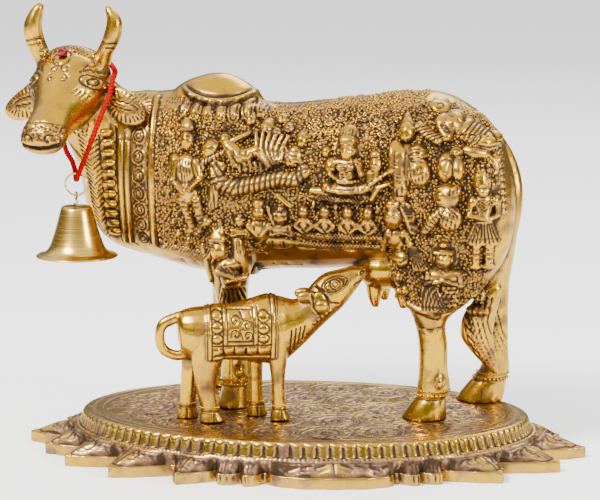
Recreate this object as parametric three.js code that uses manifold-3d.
// Kamdhenu: a cow suckling her calf on an oval, leaf-edged plinth, cast in metal with an antique gold
// finish. A red stone sits on her forehead, and a red thread round her neck carries a small brass bell.
// Millimetres. +X runs along the plinth from her head to her rump, -Y is the side she shows, +Z is up.
// The origin is the middle of the plinth's underside.
import * as THREE from 'three';
import { mergeVertices } from 'three/addons/utils/BufferGeometryUtils.js';
import Module from 'manifold-3d';

const wasm = await Module();
wasm.setup();

// Driving sizes
const plinthLength = 216;
const plinthWidth = 134;
const skirtEdge = 4.6;
const drumLength = 173;
const drumWidth = 107;
const drumFoot = 9.5;
const plateTop = 15.7;
const ribPitch = 4;
const ribDepth = 0.9;
const drumSlope = 2.4;
const seatGap = 0.3;
const bellHeight = 19.8;
const bellMouth = 31.7;
const bellCrown = 10.6;
const bellWall = 1;
const ringOuter = 9.4;
const ringWire = 0.9;
const hangerWire = 0.8;
const hangerEye = 3.4;
const hangerGap = 0.3;
const threadDiameter = 2.2;
const gemDiameter = 4.6;
const gemHeight = 1.9;

// Where the figures stand on the plinth, and how they are turned on it, in degrees
const cowPlace = [10, 15];
const cowTurn = -5;
const calfPlace = [-25, -18];
const calfTurn = 13.7;
const crownPlace = [-101.5, -14, 136.9];
const headTurn = -3.5;
const headPitch = 34.7;
const crownRise = 9;

const finishes = {
  gold: { color: 0xc9a03e, roughness: 0.3, metalness: 1 },
  plinth: { color: 0xb89a55, roughness: 0.4, metalness: 1 },
  bell: { color: 0xd2b76a, roughness: 0.35, metalness: 1 },
  wire: { color: 0xc9b98a, roughness: 0.25, metalness: 1 },
  stone: { color: 0x8a0f1c, roughness: 0.2, metalness: 0 },
  thread: { color: 0xd01412, roughness: 0.9, metalness: 0 },
};

const vec = (p) => new THREE.Vector3(...p);
const radians = THREE.MathUtils.degToRad;
const lerp = THREE.MathUtils.lerp;
const still = new THREE.Matrix4();

// Solids and meshes
const weld = 1e-3;

function solid(geometry, matrix = still) {
  const bare = geometry.clone().applyMatrix4(matrix);
  bare.deleteAttribute('normal');
  bare.deleteAttribute('uv');
  const merged = mergeVertices(bare, weld);
  return new wasm.Manifold(new wasm.Mesh({
    numProp: 3,
    vertProperties: new Float32Array(merged.attributes.position.array),
    triVerts: new Uint32Array(merged.index.array),
  }));
}

function join(solids) {
  return solids.reduce((whole, part) => whole.add(part));
}

function geometryOf(body) {
  const { vertProperties, triVerts } = body.getMesh();
  const geometry = new THREE.BufferGeometry();
  geometry.setAttribute('position', new THREE.BufferAttribute(new Float32Array(vertProperties), 3));
  geometry.setIndex(new THREE.BufferAttribute(new Uint32Array(triVerts), 1));
  geometry.computeVertexNormals();
  return geometry;
}

function piece(name, body, finish) {
  const mesh = new THREE.Mesh(geometryOf(body), new THREE.MeshStandardMaterial(finish));
  mesh.name = name;
  return mesh;
}

// A form's skin follows ribs. A rib is [one edge, the other edge, half width]: the two edges are its
// outline seen from the side, and the half width is how far it swells across that view.
class Form {
  constructor(ribs) {
    this.count = ribs.length - 1;
    this.low = new THREE.CatmullRomCurve3(ribs.map((rib) => vec(rib[0])));
    this.high = new THREE.CatmullRomCurve3(ribs.map((rib) => vec(rib[1])));
    this.half = new THREE.CatmullRomCurve3(ribs.map((rib, i) => new THREE.Vector3(i, rib[2], 0)));
  }

  middle(t) {
    return this.low.getPoint(t).add(this.high.getPoint(t)).multiplyScalar(0.5);
  }

  at(t, angle, reach = 1) {
    const step = 0.5 / this.count;
    const tangent = this.middle(Math.min(1, t + step)).sub(this.middle(Math.max(0, t - step)));
    const deep = this.high.getPoint(t).sub(this.low.getPoint(t)).multiplyScalar(0.5);
    const across = deep.clone().cross(tangent).setLength(this.half.getPoint(t).y);
    return this.middle(t)
      .addScaledVector(across, Math.cos(angle) * reach)
      .addScaledVector(deep, Math.sin(angle) * reach);
  }

  solid(sides = 8, swell = 1) {
    const skin = new THREE.CylinderGeometry(1, 1, 1, sides, this.count);
    const position = skin.attributes.position;
    for (let i = 0; i < position.count; i += 1) {
      const x = position.getX(i);
      const z = position.getZ(i);
      const point = this.at(0.5 - position.getY(i), Math.atan2(z, x), swell * Math.hypot(x, z));
      position.setXYZ(i, point.x, point.y, point.z);
    }
    return solid(skin);
  }
}

// A form that lies along x: rows of [x, bottom, top, half width, how far it stands aside].
function lying(rows) {
  return new Form(rows.map(([x, bottom, top, half, y = 0]) => [[x, y, bottom], [x, y, top], half]));
}

// A form that stands: rows of [z, front x, back x, y, half width].
function standing(rows) {
  return new Form(rows.map(([z, front, back, y, half]) => [[front, y, z], [back, y, z], half]));
}

// A head that faces -y: rows of [distance down the face, underside, top, half width].
function facing(rows) {
  return new Form(rows.map(([s, bottom, top, half]) => [[0, -s, bottom], [0, -s, top], half]));
}

// A round stalk that rises: rows of [x, y, z, radius].
function stalk(rows) {
  return new Form(rows.map(([x, y, z, radius]) => [[x - radius, y, z], [x + radius, y, z], radius]));
}

function blob(place, radii, matrix = still, sides = 6, rows = 4) {
  const ball = new THREE.SphereGeometry(1, sides, rows);
  ball.rotateX(Math.PI / 2);
  ball.scale(...radii);
  ball.translate(...place);
  return solid(ball, matrix);
}

// The plinth
const drumRound = drumWidth / drumLength;
const footStep = 0.5;
const sunk = 0.2;
const valley = 0.8;
const leafSteps = 5;

// Leaves of half the skirt: [middle in degrees, reach as a share of the half length, half spread in
// degrees, bluntness]. The other half is the same, turned by half a turn.
const skirtLeaves = [
  [0, 1, 9.5, 1], [17.5, 0.95, 9, 1], [34.5, 0.97, 8.5, 1], [51.5, 0.99, 8, 1], [67, 0.955, 6, 1],
  [76, 0.885, 3.4, 2], [81.5, 0.885, 2.6, 2], [101, 0.895, 16, 3], [120.5, 0.865, 2.6, 2],
  [126, 0.87, 3, 2], [139, 0.96, 9.5, 1], [159, 0.98, 10.5, 1],
];

function onSkirt(degrees, share) {
  const angle = radians(degrees);
  return [(plinthLength / 2) * share * Math.cos(angle), (plinthWidth / 2) * share * Math.sin(angle)];
}

function leafRim(middle, reach, spread, blunt) {
  const rim = [];
  for (let i = 0; i < leafSteps; i += 1) {
    const u = (2 * (i + 0.5)) / leafSteps - 1;
    const swell = 1 - Math.abs(u) ** (1.3 * blunt);
    rim.push(new THREE.Vector2(...onSkirt(middle + u * spread, lerp(valley, reach, swell))));
  }
  return rim;
}

function allLeaves() {
  const turned = skirtLeaves.map(([middle, ...shape]) => [middle + 180, ...shape]);
  return [...skirtLeaves, ...turned];
}

// The skirt's leafy edge is upright, and its top slopes up from there to just outside the drum's foot.
function skirt() {
  const outline = new THREE.Shape(allLeaves().flatMap((leaf) => leafRim(...leaf)));
  const slab = new THREE.ExtrudeGeometry(outline, { depth: 2, steps: 2, bevelEnabled: false });
  const position = slab.attributes.position;
  for (let i = 0; i < position.count; i += 1) {
    const level = Math.round(position.getZ(i));
    position.setZ(i, [0, skirtEdge, drumFoot][level]);
    if (level === 2) {
      const angle = Math.atan2(position.getY(i) / drumRound, position.getX(i));
      const reach = (drumLength + drumSlope) / 2 + footStep;
      position.setX(i, reach * Math.cos(angle));
      position.setY(i, reach * drumRound * Math.sin(angle));
    }
  }
  return solid(slab);
}

// The plate stands on a wall of upright ribs, which leans in a little towards the top.
function drum() {
  const a = drumLength / 2;
  const b = drumWidth / 2;
  const around = Math.PI * (3 * (a + b) - Math.sqrt((3 * a + b) * (a + 3 * b)));
  const ribs = Math.round(around / ribPitch);
  const outline = [];
  for (let i = 0; i < 2 * ribs; i += 1) {
    const angle = (Math.PI * i) / ribs;
    const inset = (i % 2) * ribDepth;
    outline.push(new THREE.Vector2((a - inset) * Math.cos(angle), (b - inset) * Math.sin(angle)));
  }
  const height = plateTop - drumFoot + sunk;
  const wall = new THREE.ExtrudeGeometry(new THREE.Shape(outline), { depth: height, bevelEnabled: false });
  const position = wall.attributes.position;
  for (let i = 0; i < position.count; i += 1) {
    const lean = 1 + ((1 - position.getZ(i) / height) * drumSlope) / drumLength;
    position.setX(i, position.getX(i) * lean);
    position.setY(i, position.getY(i) * lean);
  }
  wall.translate(0, 0, drumFoot - sunk);
  return solid(wall);
}

// The cow, in her own frame: x along her body towards the rump, z up from the soles of her hooves
const trunk = lying([
  [-72, 55, 120, 18.5], [-60, 52, 121.3, 22.5], [-48, 49.8, 121, 25.2], [-35, 50.2, 118.6, 26.2],
  [-20, 52.2, 116.8, 26.6], [-5, 52.7, 118.2, 27], [12, 54, 120.2, 27.4], [28, 52.8, 122.3, 27.8],
  [42, 51, 122, 27], [53, 51.5, 116.6, 24.6], [61.5, 53.5, 108.4, 20.5], [67, 58, 100, 15],
  [70, 67, 90.5, 9], [71, 75, 84, 3.5],
]);
const neck = new Form([
  [[-66, 0, 54.5], [-66, 0, 120], 19.5],
  [[-79, 0, 56.6], [-74, 0, 120.5], 17.2],
  [[-90, -3, 61.4], [-81, -1, 120], 15.2],
  [[-97, -6, 73], [-84, -2, 121.5], 13.6],
  [[-98.8, -9, 87], [-88, -4, 125.6], 12.6],
  [[-101.6, -12, 98], [-94, -7, 131], 12],
  [[-104.6, -17, 108], [-101, -11, 133], 10.5],
]);
const hump = standing([
  [108, -72, -22, 0, 21], [114.5, -71, -23, 0, 18.4], [116.2, -69, -25, 0, 16.6],
  [117, -66.5, -27.5, 0, 14.4], [120.6, -64, -30, 0, 12], [124, -59.5, -34.5, 0, 8.4],
  [126.4, -53.5, -39, 0, 5], [127.6, -48.5, -42.5, 0, 2],
]);
const nearFrontLeg = standing([
  [88, -54, -24, -11, 12], [72, -51, -24, -14.5, 11.5], [60, -48, -27, -16.5, 10], [51, -45.5, -30, -17, 8],
  [42, -43, -30.8, -16.5, 6], [30, -41.3, -30.6, -16, 5.3], [18, -41.1, -30.9, -15.7, 5.3],
  [12, -41.6, -30.1, -15.6, 5.9], [8, -41.2, -31, -15.5, 5.5], [4, -42.2, -30.9, -15.5, 6.3],
  [0, -43, -30.6, -15.5, 7],
]);
const farFrontLeg = standing([
  [88, -54, -26, 11, 12], [70, -54, -28, 15.5, 10.5], [56, -53.5, -34, 18, 8], [44, -53.6, -41, 19.5, 6],
  [30, -54, -43.3, 20.5, 5.3], [18, -54.3, -43.9, 21, 5.3], [12, -54.9, -43.4, 21.2, 5.9],
  [8, -54.4, -44, 21.4, 5.5], [4, -55.4, -43.8, 21.5, 6.3], [0, -56.2, -43.6, 21.5, 7],
]);
const nearHindLeg = standing([
  [104, 36, 66, -7, 14], [88, 31, 71, -11, 15.5], [72, 26.5, 71, -13.5, 14.8], [60, 24.5, 67.5, -15.5, 13],
  [51, 27, 61, -17.5, 11], [44, 31, 54, -19, 8.8], [37, 34.6, 46.8, -19.3, 6.8],
  [28, 36.3, 47.3, -19.5, 5.7], [18, 36.4, 47.5, -19.5, 5.6], [11.5, 35.8, 48.4, -19.5, 6.2], [8.5, 35.4, 46.8, -19.5, 6],
  [4, 32.4, 47, -19.5, 7.2], [0, 30, 47.2, -19.5, 7.9],
]);
const farHindLeg = standing([
  [104, 36, 64, 7, 14], [88, 32, 69, 10.5, 14.5], [70, 33, 69.5, 13, 12.5], [57, 44, 68, 14.5, 9.5],
  [48, 51.5, 66.4, 15.3, 7.2], [39, 55, 66, 15.5, 5.9], [28, 56, 66, 15.5, 5.4],
  [18, 56.5, 66.3, 15.5, 5.4], [12.5, 55, 66.6, 15.5, 6], [9, 52.6, 65.6, 15.5, 6.2],
  [4, 48.4, 65, 15.5, 7.2], [0, 45.6, 64.3, 15.5, 7.9],
]);
const tail = stalk([
  [54.5, -1, 114.8, 2.4], [61.6, -3, 106.8, 3], [67, -5, 98.4, 3.2], [70, -6, 88.6, 3.2],
  [70.4, -7.5, 80, 3.1], [68.8, -9, 69.5, 3], [65.6, -11, 58.6, 3], [62.8, -13, 48, 3],
]);
const tailTuft = standing([
  [50, 60, 67, -13.5, 2.6], [44, 55.5, 66, -14, 3.6], [38, 52, 64.6, -14, 4.2], [31, 51.4, 63.6, -13.5, 4],
  [25, 55.4, 64.6, -13, 3], [20, 60, 65.6, -12.5, 2], [16.4, 63.6, 66, -12, 0.8],
]);
const teats = [[17, -8], [28, -8.5], [18, 7], [28, 7]].map(([x, y]) => stalk([
  [x, y, 52, 3.4], [x + 0.2, y, 44.5, 2.8], [x + 0.5, y, 39.6, 1.3],
]));
const horns = [
  stalk([
    [-112, -12, 131, 3.6], [-114, -14, 137, 3.7], [-115.2, -15.5, 141.5, 3.8], [-115.3, -16.5, 146, 3.6],
    [-114.3, -16.5, 150, 3], [-112.9, -16.5, 153.2, 2.1], [-112.2, -16.5, 154.8, 0.9],
  ]),
  stalk([
    [-89, -13, 131, 3.5], [-87, -15, 136, 3.6], [-84.8, -16.5, 139.5, 3.6], [-83, -17, 144, 3.4],
    [-82.6, -17, 148.5, 2.9], [-84, -17, 152, 2], [-85.2, -17, 154, 0.9],
  ]),
];
const ears = [
  lying([
    [-129.8, 110.8, 113.8, 0.8, -8], [-128.3, 109.2, 116, 1.4, -8.5], [-126, 108.2, 118.2, 1.8, -9],
    [-122, 108.3, 121.2, 2, -10], [-118, 109.6, 124, 2, -11], [-113, 112.5, 124, 2.2, -11.5],
    [-108, 115, 123, 2.4, -12],
  ]),
  lying([
    [-90, 116, 122, 2.4, -12.5], [-86, 113.5, 123.2, 2.2, -13.5], [-83, 110.6, 123.4, 2, -15],
    [-79.5, 108.4, 122.4, 2, -16], [-75.5, 108, 120.3, 1.8, -16.5], [-72.5, 108.8, 117.5, 1.4, -16.5],
    [-70.9, 110.5, 113.5, 0.8, -16.5],
  ]),
];

// The head, in its own frame: the face looks along -y and z rises out of the forehead
const headMatrix = new THREE.Matrix4().makeTranslation(...crownPlace)
  .multiply(new THREE.Matrix4().makeRotationZ(radians(headTurn)))
  .multiply(new THREE.Matrix4().makeRotationX(radians(headPitch)))
  .multiply(new THREE.Matrix4().makeTranslation(0, 0, -crownRise));
const skull = facing([
  [-9, -8, 3, 7.5], [-5, -12, 6.8, 12], [1, -15, 9.6, 14.8], [8, -16, 10.8, 15.3], [15, -15.2, 9.8, 14],
  [22, -13.4, 8.4, 10.6], [29, -10.8, 7.3, 8.6], [36, -8, 7, 8.6], [41, -7, 6.8, 9], [45, -5.6, 5.4, 8],
  [47, -3.4, 3, 4.6],
]);

function head() {
  const parts = [skull.solid(12)];
  for (const side of [-1, 1]) {
    parts.push(blob([side * 12.8, -11.5, 3.4], [2, 3, 2], still, 6, 3));
    parts.push(blob([side * 3.4, -45.3, 3], [2.2, 1.6, 1.6], still, 5, 2));
  }
  const slot = solid(new THREE.BoxGeometry(24, 14, 0.8).translate(0, -42, -2.4));
  const mouth = slot.subtract(skull.solid(12, 0.88));
  return join(parts).subtract(mouth).transform(headMatrix.elements);
}

function cowBody() {
  return join([
    trunk.solid(16), neck.solid(12), hump.solid(12), nearFrontLeg.solid(8), farFrontLeg.solid(7),
    nearHindLeg.solid(8), farHindLeg.solid(7), tail.solid(5), tailTuft.solid(6),
    blob([20.5, -2, 55], [12, 16.2, 9], still, 8, 4), ...teats.map((teat) => teat.solid(5)),
    ...horns.map((horn) => horn.solid(6)), ...ears.map((ear) => ear.solid(6)), head(),
  ]);
}

// Carving on the cow

// Finds the skin under a point of the side view, and the frame there: x along, y up, z out of the skin.
class Skin {
  constructor(body, side) {
    this.mesh = new THREE.Mesh(geometryOf(body));
    this.mesh.updateMatrixWorld();
    this.side = side;
  }

  hit(x, z) {
    const far = 100;
    const eye = new THREE.Vector3(x, this.side * far, z);
    const [hit] = new THREE.Raycaster(eye, new THREE.Vector3(0, -this.side, 0)).intersectObject(this.mesh);
    const out = hit.face.normal.clone().add(new THREE.Vector3(0, this.side, 0)).normalize();
    return { point: hit.point, out };
  }

  // A swelling on the skin, `radii` along, up and out of it, turned by `lean` degrees.
  boss(x, z, radii, lean = 0, sides = 6, rows = 2) {
    const { point, out } = this.hit(x, z);
    const up = out.clone().cross(new THREE.Vector3(-this.side, 0, 0)).normalize();
    const frame = new THREE.Matrix4().makeBasis(up.clone().cross(out), up, out).setPosition(point);
    const turn = new THREE.Matrix4().makeRotationZ(radians(lean));
    return blob([0, 0, 0], radii, frame.multiply(turn), sides, rows);
  }

  // A ridge that runs over the skin: rows of [x, z, half width, how far it stands out].
  ridge(rows, sides = 4) {
    const places = rows.map(([x, z]) => this.hit(x, z));
    return new Form(rows.map(([, , half, proud], i) => {
      const { point, out } = places[i];
      const next = places[Math.min(i + 1, places.length - 1)].point;
      const last = places[Math.max(i - 1, 0)].point;
      const across = next.clone().sub(last).cross(out).setLength(half);
      return [point.clone().sub(across).toArray(), point.clone().add(across).toArray(), proud];
    })).solid(sides);
  }

  // A figure: a ridge that runs from its foot to its crown.
  figure([posture, x, foot, height, lean = 0]) {
    const slope = Math.tan(radians(lean));
    return this.ridge(postures[posture].map(([up, half, proud]) => [
      x + slope * up * height, foot + up * height, half * height, proud * height,
    ]));
  }
}

// Figures from foot to crown, as shares of their height: [up, half width, how far it stands out].
const postures = {
  standing: [
    [0, 0.17, 0.06], [0.28, 0.14, 0.12], [0.53, 0.09, 0.11], [0.68, 0.17, 0.13], [0.75, 0.07, 0.1],
    [0.83, 0.1, 0.14], [1, 0.03, 0.04],
  ],
  seated: [
    [0, 0.22, 0.06], [0.14, 0.35, 0.18], [0.33, 0.15, 0.15], [0.6, 0.2, 0.16], [0.69, 0.08, 0.12],
    [0.79, 0.12, 0.17], [1, 0.03, 0.05],
  ],
  bust: [[0, 0.34, 0.14], [0.25, 0.42, 0.24], [0.52, 0.2, 0.2], [0.72, 0.3, 0.3], [1, 0.1, 0.08]],
};

// The figures on the side she shows, and the plainer ones behind: [posture, x, height of its foot,
// its own height, lean in degrees]
const nearFigures = [
  ['standing', -51, 79, 26, 2], ['standing', -42.5, 80, 23, -8], ['bust', -46, 65, 9.5],
  ['bust', -57.5, 64, 9], ['seated', 2.6, 84.5, 17.5], ['seated', 10.8, 84.5, 22],
  ['bust', -24.6, 70.5, 9.5], ['bust', -15.5, 69.5, 9], ['bust', -7.2, 71.5, 9.5], ['bust', 1.4, 71.5, 10],
  ['bust', 9.8, 71.5, 10], ['bust', 18, 71.5, 10], ['standing', 28, 55, 26], ['seated', 33, 87, 28],
  ['seated', 45, 68, 29], ['standing', 60, 64, 30], ['bust', 45, 53, 14], ['bust', 57, 38.5, 11],
  ['bust', -42, 46, 11],
];
const farFigures = [
  ['standing', -44, 76, 28], ['seated', -6, 78, 30], ['standing', 38, 68, 34],
];
const petals = 9;
const petalPitch = 5.4;
const rosettes = 7;
const rosettePitch = 7;
const beads = 7;
const beadPitch = 5.6;

// Petals round the hump, and the rosettes that run down her neck
function petalsAndRosettes(skin) {
  const parts = [];
  for (let i = 0; i < petals; i += 1) {
    const u = i - (petals - 1) / 2;
    parts.push(skin.boss(-42.5 + u * petalPitch, 112.2 + 0.12 * u * u, [2.3, 3.8, 1.4], 0, 4));
  }
  for (let i = 0; i < rosettes; i += 1) {
    parts.push(skin.boss(-72.6 + 0.1 * i, 103.6 - rosettePitch * i, [3.3, 3.3, 1.2]));
  }
  return parts;
}

// A string of barrel beads in front of the rosettes
function beadString(skin) {
  const string = [];
  for (let i = 0; i <= 2 * beads; i += 1) {
    const swell = i % 2;
    string.push([-87.2 + 0.1 * i, 104 - (beadPitch / 2) * i, lerp(1.6, 2.9, swell), lerp(0.5, 1.5, swell)]);
  }
  return skin.ridge(string);
}

// The long forms on her side: the serpent's coil, the figure lying on it and the hood over her; a figure
// that leaps along the hip; the ledge under the seated pair; the welt behind the rosettes; the rope.
const runs = [
  [
    [-41, 89.5, 1.4, 1], [-36, 89.4, 3, 3], [-26, 90.6, 3.2, 3.2], [-15, 93, 3.4, 3.2], [-9, 96.5, 3, 3],
    [-6, 100, 1.2, 1],
  ],
  [
    [-32, 96, 1.2, 1.2], [-26, 97.4, 2.6, 3.4], [-19, 99.4, 3.4, 4], [-14, 103, 2.6, 3.6],
    [-10.5, 107.5, 3, 4], [-8, 110.5, 1, 1],
  ],
  [[-32, 105, 1.2, 1], [-27, 109, 4, 2.4], [-21, 110.5, 3.6, 2.4], [-17, 109, 1.2, 1]],
  [
    [42, 116.5, 1.4, 1.2], [45.5, 113.5, 4, 3.6], [50, 110, 2.8, 3.4], [57, 105.5, 4, 3.8],
    [63, 101, 2.6, 2.6], [66.5, 98, 1.2, 1],
  ],
  [[-3, 84.6, 0.8, 0.6], [0, 84.2, 1.7, 2.6], [16, 84.2, 1.7, 2.6], [20, 84.8, 0.8, 0.6]],
  [
    [-67.6, 118, 1.2, 0.8], [-67.3, 108, 1.4, 1], [-66.8, 96, 1.4, 1], [-66.4, 84, 1.4, 1],
    [-66, 72, 1.4, 1], [-65.8, 62, 1.2, 0.8],
  ],
  [[-14, 66.4, 0.8, 0.6], [-8, 67, 2.4, 2.2], [20, 67, 2.4, 2.2], [24, 66.6, 0.8, 0.6]],
];

function cow() {
  const body = cowBody();
  const near = new Skin(body, -1);
  const far = new Skin(body, 1);
  return join([
    body, ...petalsAndRosettes(near), beadString(near),
    ...runs.map((run) => near.ridge(run)), ...nearFigures.map((one) => near.figure(one)),
    ...farFigures.map((one) => far.figure(one)),
  ]);
}

// The calf, in its own frame: x towards its nose
const calfBody = lying([
  [-21, 32, 40, 3.6], [-19.4, 26, 41.8, 6.4], [-15.5, 23, 43, 8], [-8, 22.7, 43.5, 8.6],
  [0, 22.5, 43.6, 8.7], [7, 21.8, 45.4, 8.9], [14, 20.8, 47.2, 8.8], [20, 22, 46, 7.4], [24, 27, 44, 5],
]);
const calfNeck = new Form([
  [[17, 0, 20], [12, 0, 46], 8.4], [[22, 0, 23.5], [19, 0, 46.2], 7.4], [[28, 0, 29], [23.5, 0, 45.3], 6.2],
  [[33, 0.2, 34], [27, 0, 47.2], 5.6], [[37.4, 0.4, 38], [30.5, 0.2, 51.4], 5.8],
  [[42, 0.8, 42], [34.8, 0.6, 54.8], 5.4], [[46.4, 1.4, 47.4], [41, 1, 56.4], 4],
  [[49.4, 2, 51.6], [46.6, 1.6, 57.4], 3.3], [[51, 2.4, 53.6], [50, 2.2, 57.2], 2.4],
]);
const calfTail = new Form([
  [[-16, 0, 39], [-16, 0, 42.6], 2], [[-22, 0, 36.6], [-22.4, 0, 41], 2], [[-25.2, 0, 34.8], [-28, 0, 38], 1.9],
  [[-25.7, 0, 31], [-29.5, 0, 31], 1.9], [[-24.6, 0, 28.2], [-27.6, 0, 25.8], 1.9],
  [[-21.4, 0, 26.6], [-22, 0, 22.8], 1.9], [[-17, 0, 27], [-17, 0, 23], 1.8],
]);
const calfLegs = [
  standing([
    [34, -15.5, -3, -4, 4.4], [26, -14.6, -2.6, -4.4, 4.2], [19, -13.4, -4.4, -4.6, 3.6],
    [12, -12.9, -5.3, -4.6, 3.1], [5, -12.6, -5, -4.7, 3.2], [0, -13.2, -3.2, -4.8, 3.8],
  ]),
  standing([
    [34, -19, -9, 4, 4], [24, -19.2, -10.6, 4.2, 3.8], [14, -19.6, -12.6, 4.3, 3.1],
    [6, -20.2, -13.8, 4.4, 3.1], [0, -21.4, -12.8, 4.6, 3.8],
  ]),
  standing([
    [34, 9, 21, -4, 4.4], [24, 12.6, 20.2, -4.3, 3.9], [15, 14, 19.2, -4.5, 2.9], [6, 14.2, 19.4, -4.6, 2.9],
    [0, 13.4, 21.6, -4.8, 3.7],
  ]),
  standing([
    [34, 3, 14, 4, 4], [24, 4.8, 12.2, 4.2, 3.7], [14, 6, 11.6, 4.4, 2.9], [6, 6, 12, 4.5, 2.9],
    [0, 5.4, 13.8, 4.7, 3.7],
  ]),
];
const clothStart = 0.36;
const clothEnd = 0.78;
const clothHem = 23.4;
const clothThickness = 0.7;

// The saddle cloth is a stretch of the calf's own body, a little proud of it, cut off level at its hem.
function saddleCloth() {
  const steps = 3;
  const ribs = [];
  for (let i = 0; i <= steps; i += 1) {
    const t = lerp(clothStart, clothEnd, i / steps);
    const down = calfBody.low.getPoint(t).setZ(clothHem - 1.5).toArray();
    const up = calfBody.high.getPoint(t);
    up.z += clothThickness;
    ribs.push([down, up.toArray(), calfBody.half.getPoint(t).y + clothThickness]);
  }
  const block = new THREE.BoxGeometry(60, 40, 40).translate(0, 0, clothHem + 20);
  return new Form(ribs).solid(10).intersect(solid(block));
}

function calf() {
  const sides = [-1, 1].flatMap((side) => [
    blob([27.4, side * 3.8, 46.8], [3.8, 1.8, 2.2], still, 6, 3),
    blob([39.4, side * 4.6 + 0.6, 50.6], [2, 1.4, 1.5], still, 6, 2),
  ]);
  return join([
    calfBody.solid(10), calfNeck.solid(8), calfTail.solid(5), saddleCloth(),
    ...calfLegs.map((leg) => leg.solid(6)), ...sides,
  ]);
}

// The bell, the ring and the thread that hangs them round her neck
const onCow = new THREE.Matrix4().makeTranslation(...cowPlace, plateTop)
  .multiply(new THREE.Matrix4().makeRotationZ(radians(cowTurn)));
const ringMiddle = new THREE.Vector3(-96.6, -24, 86.2).applyMatrix4(onCow);
const ringRadius = (ringOuter - ringWire) / 2;
const eyeRadius = (hangerEye - hangerWire) / 2;
const eyeMiddle = ringMiddle.clone();
eyeMiddle.z -= ringRadius + eyeRadius - (ringWire + hangerWire) / 2 - hangerGap;
const stemLength = 2.6;
const crownTop = eyeMiddle.z - eyeRadius - stemLength;

// The bell is spun from sheet: its outside from the lip up, [share of the mouth's radius, share of height]
const bellOutside = [
  [1, 0], [0.985, 0.03], [0.82, 0.075], [0.7, 0.16], [0.58, 0.4], [0.5, 0.6], [0.425, 0.82], [0.375, 0.955],
];

function bellBody() {
  const mouth = bellMouth / 2;
  const hole = hangerWire / 2 + hangerGap;
  const outside = bellOutside.map(([share, up]) => new THREE.Vector2(mouth * share, bellHeight * up));
  const inside = bellOutside.filter((row, i) => i === 0 || i > 2).map(([share, up]) => new THREE.Vector2(
    mouth * share - bellWall, Math.min(bellHeight * up, bellHeight - 1.6 * bellWall),
  ));
  const crown = [
    [bellCrown / 2 - 0.5, bellHeight], [hole, bellHeight], [hole, bellHeight - bellWall],
    [bellCrown / 2 - 1.2, bellHeight - bellWall],
  ].map(([radius, up]) => new THREE.Vector2(radius, up));
  const profile = [...outside, ...crown, ...inside.reverse()];
  return solid(new THREE.LatheGeometry([...profile, profile[0]], 14).rotateX(Math.PI / 2));
}

function ringBody() {
  return solid(new THREE.TorusGeometry(ringRadius, ringWire / 2, 5, 16).rotateX(Math.PI / 2));
}

// The hanger is one wire: an eye round the ring, a stem through the crown and a curl under it.
function hangerBody() {
  const eye = new THREE.TorusGeometry(eyeRadius, hangerWire / 2, 5, 10).rotateY(Math.PI / 2);
  const reach = stemLength + bellWall + hangerGap + 0.5;
  const stem = new THREE.CylinderGeometry(hangerWire / 2, hangerWire / 2, reach, 6)
    .rotateX(Math.PI / 2).translate(0, 0, -eyeRadius - reach / 2);
  return join([solid(eye), solid(stem), blob([0, 0, -eyeRadius - reach - 0.5], [1.5, 1.5, 0.9])]);
}

// The thread's way round her neck, in the cow's frame: from the knot behind her head over the nape,
// down her near side, through the ring in front of her chest and back up the far side
const threadWay = [
  [-97.4, 5.9, 127.6], [-96.2, 5.1, 129], [-93.5, 2.7, 131.4], [-89.6, -0.5, 131], [-86.1, -5.2, 128.5],
  [-84.6, -10.5, 127.8], [-84.2, -15.2, 125.4], [-84.4, -18.9, 119.8], [-85.8, -21.4, 115.5],
  [-87.6, -23.6, 109.7], [-89.7, -25.2, 103.6], [-91.9, -26.8, 97], [-93.9, -28, 91.8],
  [-96.4, -24.2, 88.2], [-98.2, -19.4, 90.2], [-100.8, -14.6, 93.6], [-104.7, -10.4, 97.5],
  [-107.4, -4.7, 103.6], [-106.8, 1, 110.9], [-102.5, 3.4, 118], [-99, 5.2, 124.4],
  [-98.2, 5.9, 125.9],
];
const knot = [-97.8, 6, 126.7];

function threadBody() {
  const way = new THREE.CatmullRomCurve3(threadWay.map((point) => vec(point).applyMatrix4(onCow)));
  const radius = threadDiameter / 2;
  const section = new THREE.Shape(new THREE.EllipseCurve(0, 0, radius, radius).getPoints(8));
  const loop = new THREE.ExtrudeGeometry(section, { steps: 38, extrudePath: way, bevelEnabled: false });
  return join([solid(loop), blob(knot, [2.2, 2.2, 2], onCow)]);
}

// The stone lies on her forehead, on the slope of her brow.
const gemPlace = [-0.8, -5.5, 10.7];
const browSlope = 7;

function gemBody() {
  const upright = new THREE.Matrix4().makeTranslation(...gemPlace)
    .multiply(new THREE.Matrix4().makeRotationX(radians(-browSlope)));
  const matrix = onCow.clone().multiply(headMatrix).multiply(upright);
  const stone = new THREE.CylinderGeometry(gemDiameter * 0.28, gemDiameter / 2, gemHeight, 8)
    .rotateX(Math.PI / 2).translate(0, 0, gemHeight / 2 + 2 * seatGap);
  return solid(stone, matrix);
}

function place(mesh, x, y, z, turn = 0) {
  mesh.position.set(x, y, z);
  mesh.rotation.z = radians(turn);
  return mesh;
}

const work = new THREE.Group();
work.add(
  piece('plinth', join([skirt(), drum()]), finishes.plinth),
  place(piece('cow', cow(), finishes.gold), ...cowPlace, plateTop + seatGap, cowTurn),
  place(piece('calf', calf(), finishes.gold), ...calfPlace, plateTop + seatGap, calfTurn),
  place(piece('bell', bellBody(), finishes.bell), eyeMiddle.x, eyeMiddle.y, crownTop - bellHeight),
  place(piece('bell_ring', ringBody(), finishes.wire), ...ringMiddle),
  place(piece('bell_hanger', hangerBody(), finishes.wire), ...eyeMiddle),
  piece('neck_cord', threadBody(), finishes.thread),
  piece('forehead_gem', gemBody(), finishes.stone),
);

export default work;
